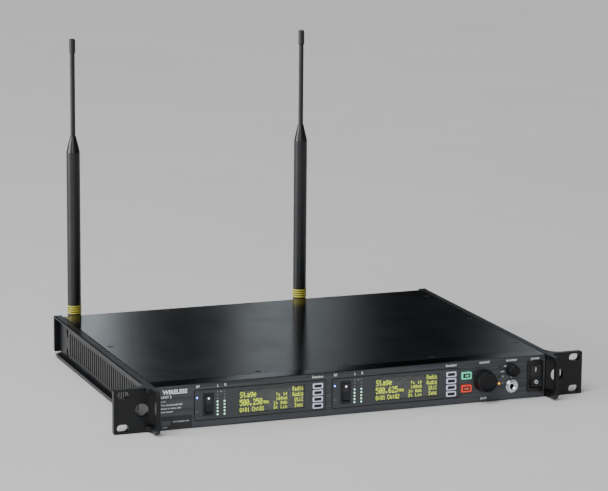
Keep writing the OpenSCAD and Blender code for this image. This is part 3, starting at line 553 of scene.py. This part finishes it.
def turned(bm, name, profile, n=28):
    """A closed turned piece about Y: (radius, y) from the back edge round to the front, capped at both ends."""
    rings = [[bm.verts.new((r * math.cos(2 * math.pi * i / n), y, r * math.sin(2 * math.pi * i / n))) for i in range(n)] for r, y in profile]
    for a, b in zip(rings, rings[1:]):
        for i in range(n):
            bm.faces.new((a[i], a[(i + 1) % n], b[(i + 1) % n], b[i]))
    bm.faces.new(rings[0][::-1])
    tip = bm.verts.new((0, profile[-1][1] - 0.01, 0))
    for i in range(n):
        bm.faces.new((rings[-1][i], rings[-1][(i + 1) % n], tip))
    return finish_mesh(bm, name)


for c in (1, 2):
    x = bez_x[c - 1] + 13.5
    bm = bmesh.new()
    me = turned(bm, f"rf_dot_{c}", [(0.92, 0.16), (0.92, -0.07), (0.84, -0.15), (0.76, -0.12), (0.66, -0.22), (0.45, -0.31), (0.22, -0.355)])
    me.transform(on_face(x, -1.8 - 4.88, 0.5 + 5.94, 5.9))
    link(f"rf_switch_{c}_dot", me, dot_lit, f"rf_switch_{c}_rocker")
px, py, pz = 190.0, -1.6, 0.1
plates("power_mark_on", print_white, [rounded(0, 0, 0.85, 4.2, 0.3)], -0.06, 0.05, "power_rocker", on_face(px, py - 5.36, pz + 7.15, 5.2))
ring = [arc(0, 0, 1.25, 1.8, 112, 428, 28), rounded(0, 1.3, 0.55, 1.9, 0.2, 2)]
plates("power_mark_off", print_white, ring, -0.06, 0.05, "power_rocker", on_face(px, py - 6.98, pz - 5.05, -21.2))

# ------------------------------------------------------------------ back panel detail
bk = 306.7
contact = []
for s in (-1, 1):
    cx = 102 + s * 7.2
    contact += [rounded(cx + (i - 3.5) * 1.02, -0.4, 0.45, 1.4, 0.1, 1) for i in range(8)]
plates("ethernet_contacts", copper_gold, contact, bk - 12.5, bk - 4)
for i, x in enumerate((12, -22, -92, -126)):
    plates(f"input_latch_{i + 1}", bright_steel, [rounded(x, 12.9, 7.0, 2.6, 0.5)], bk + 1.6, bk + 2.5)


def back_words(items, name, mat, y):
    """Words on the back panel, read from behind."""
    flip = Matrix.Rotation(math.radians(180), 4, "Z")
    return words([(t, -x, z, s, a) for t, x, z, s, a in items], name, mat, -y, turn=flip)


back = [("mains in", 173, 14.6, 2.6, "CENTER"), ("mains out", 136, 14.6, 2.6, "CENTER"), ("network", 102, 8.4, 2.6, "CENTER"),
        ("loop out", 40, 18.0, 2.2, "CENTER"), ("loop out", -62, 18.0, 2.2, "CENTER"), ("in 1 L", 12, 17.6, 2.2, "CENTER"),
        ("in 1 R", -22, 17.6, 2.2, "CENTER"), ("in 2 L", -92, 17.6, 2.2, "CENTER"), ("in 2 R", -126, 17.6, 2.2, "CENTER"),
        ("antenna 1", 66, -12.6, 2.4, "CENTER"), ("antenna 2", -178, -12.6, 2.4, "CENTER")]
back_words(back, "back_labels", print_grey, bk + 0.012)

# ------------------------------------------------------------------ floor and light
z_floor = cad_box[0][2] - 0.0001
bm = bmesh.new()
bmesh.ops.create_grid(bm, x_segments=2, y_segments=2, size=30)
me = bpy.data.meshes.new("floor")
bm.to_mesh(me)
bm.free()
floor = bpy.data.objects.new("floor", me)
bpy.context.scene.collection.objects.link(floor)
floor.location.z = z_floor
fl = Mat("floor")
fl.set(Base_Color=fl.mix(fl.span(fl.noise(3, 3), 0.3, 0.7, 0, 1), (0.66, 0.66, 0.665), (0.69, 0.69, 0.695)), Roughness=fl.span(fl.noise(30, 3), 0.3, 0.7, 0.62, 0.75))
fl.b.inputs["Specular IOR Level"].default_value = 0.25
floor.data.materials.append(fl.m)

world = bpy.data.worlds.new("world")
bpy.context.scene.world = world
world.use_nodes = True
bg = world.node_tree.nodes["Background"]
bg.inputs[0].default_value = (0.93, 0.96, 1.0, 1)
bg.inputs[1].default_value = 0.004


def area(name, pos, aim, size, power, colour=(1, 1, 1)):
    d = bpy.data.lights.new(name, "AREA")
    d.shape = "RECTANGLE"
    d.size, d.size_y = size
    d.energy = power
    d.color = colour
    o = bpy.data.objects.new(name, d)
    bpy.context.scene.collection.objects.link(o)
    o.location = pos
    o.rotation_mode = "QUATERNION"
    o.rotation_quaternion = (Vector(aim) - Vector(pos)).to_track_quat("-Z", "Y")
    o.visible_camera = False
    return o


def strip(name, az, dist, width, height, z, power):
    """An upright panel of light behind the object, at an azimuth from the viewpoint."""
    a = math.radians(az)
    p = (cam.location.x + dist * math.sin(a), cam.location.y + dist * math.cos(a), z)
    return area(name, p, (cam.location.x, cam.location.y, z), (width, height), power, (0.86, 0.94, 1.0))


def sun(name, towards, angle, strength):
    d = bpy.data.lights.new(name, "SUN")
    d.energy, d.angle = strength, math.radians(angle)
    o = bpy.data.objects.new(name, d)
    bpy.context.scene.collection.objects.link(o)
    o.location = (0, 0, 5)
    o.rotation_mode = "QUATERNION"
    o.rotation_quaternion = (-Vector(towards)).to_track_quat("-Z", "Y")
    return o


sun("soft_key", (-0.55, -0.45, 1.0), 40, 2.3)
sun("soft_top", (0, 0.1, 1.0), 70, 0.9)
area("front_fill", (-0.80, -1.05, 0.62), (-0.2, 0, 0), (0.8, 0.6), 5.6)
area("left_fill", (-3.0, 0.5, 0.6), (0, 0.1, 0), (1.6, 1.0), 88)
strip("strip_left", 16.1, 12, 0.25, 3.4, 2.2, 4.6)
strip("strip_mid_a", 20.05, 12, 0.25, 3.4, 2.2, 1.9)
strip("strip_mid_b", 21.25, 12, 0.23, 3.4, 2.2, 0.95)
strip("strip_right_a", 25.7, 12, 0.25, 3.4, 2.2, 1.0)
strip("strip_right_b", 27.0, 12, 0.30, 3.4, 2.2, 3.2)
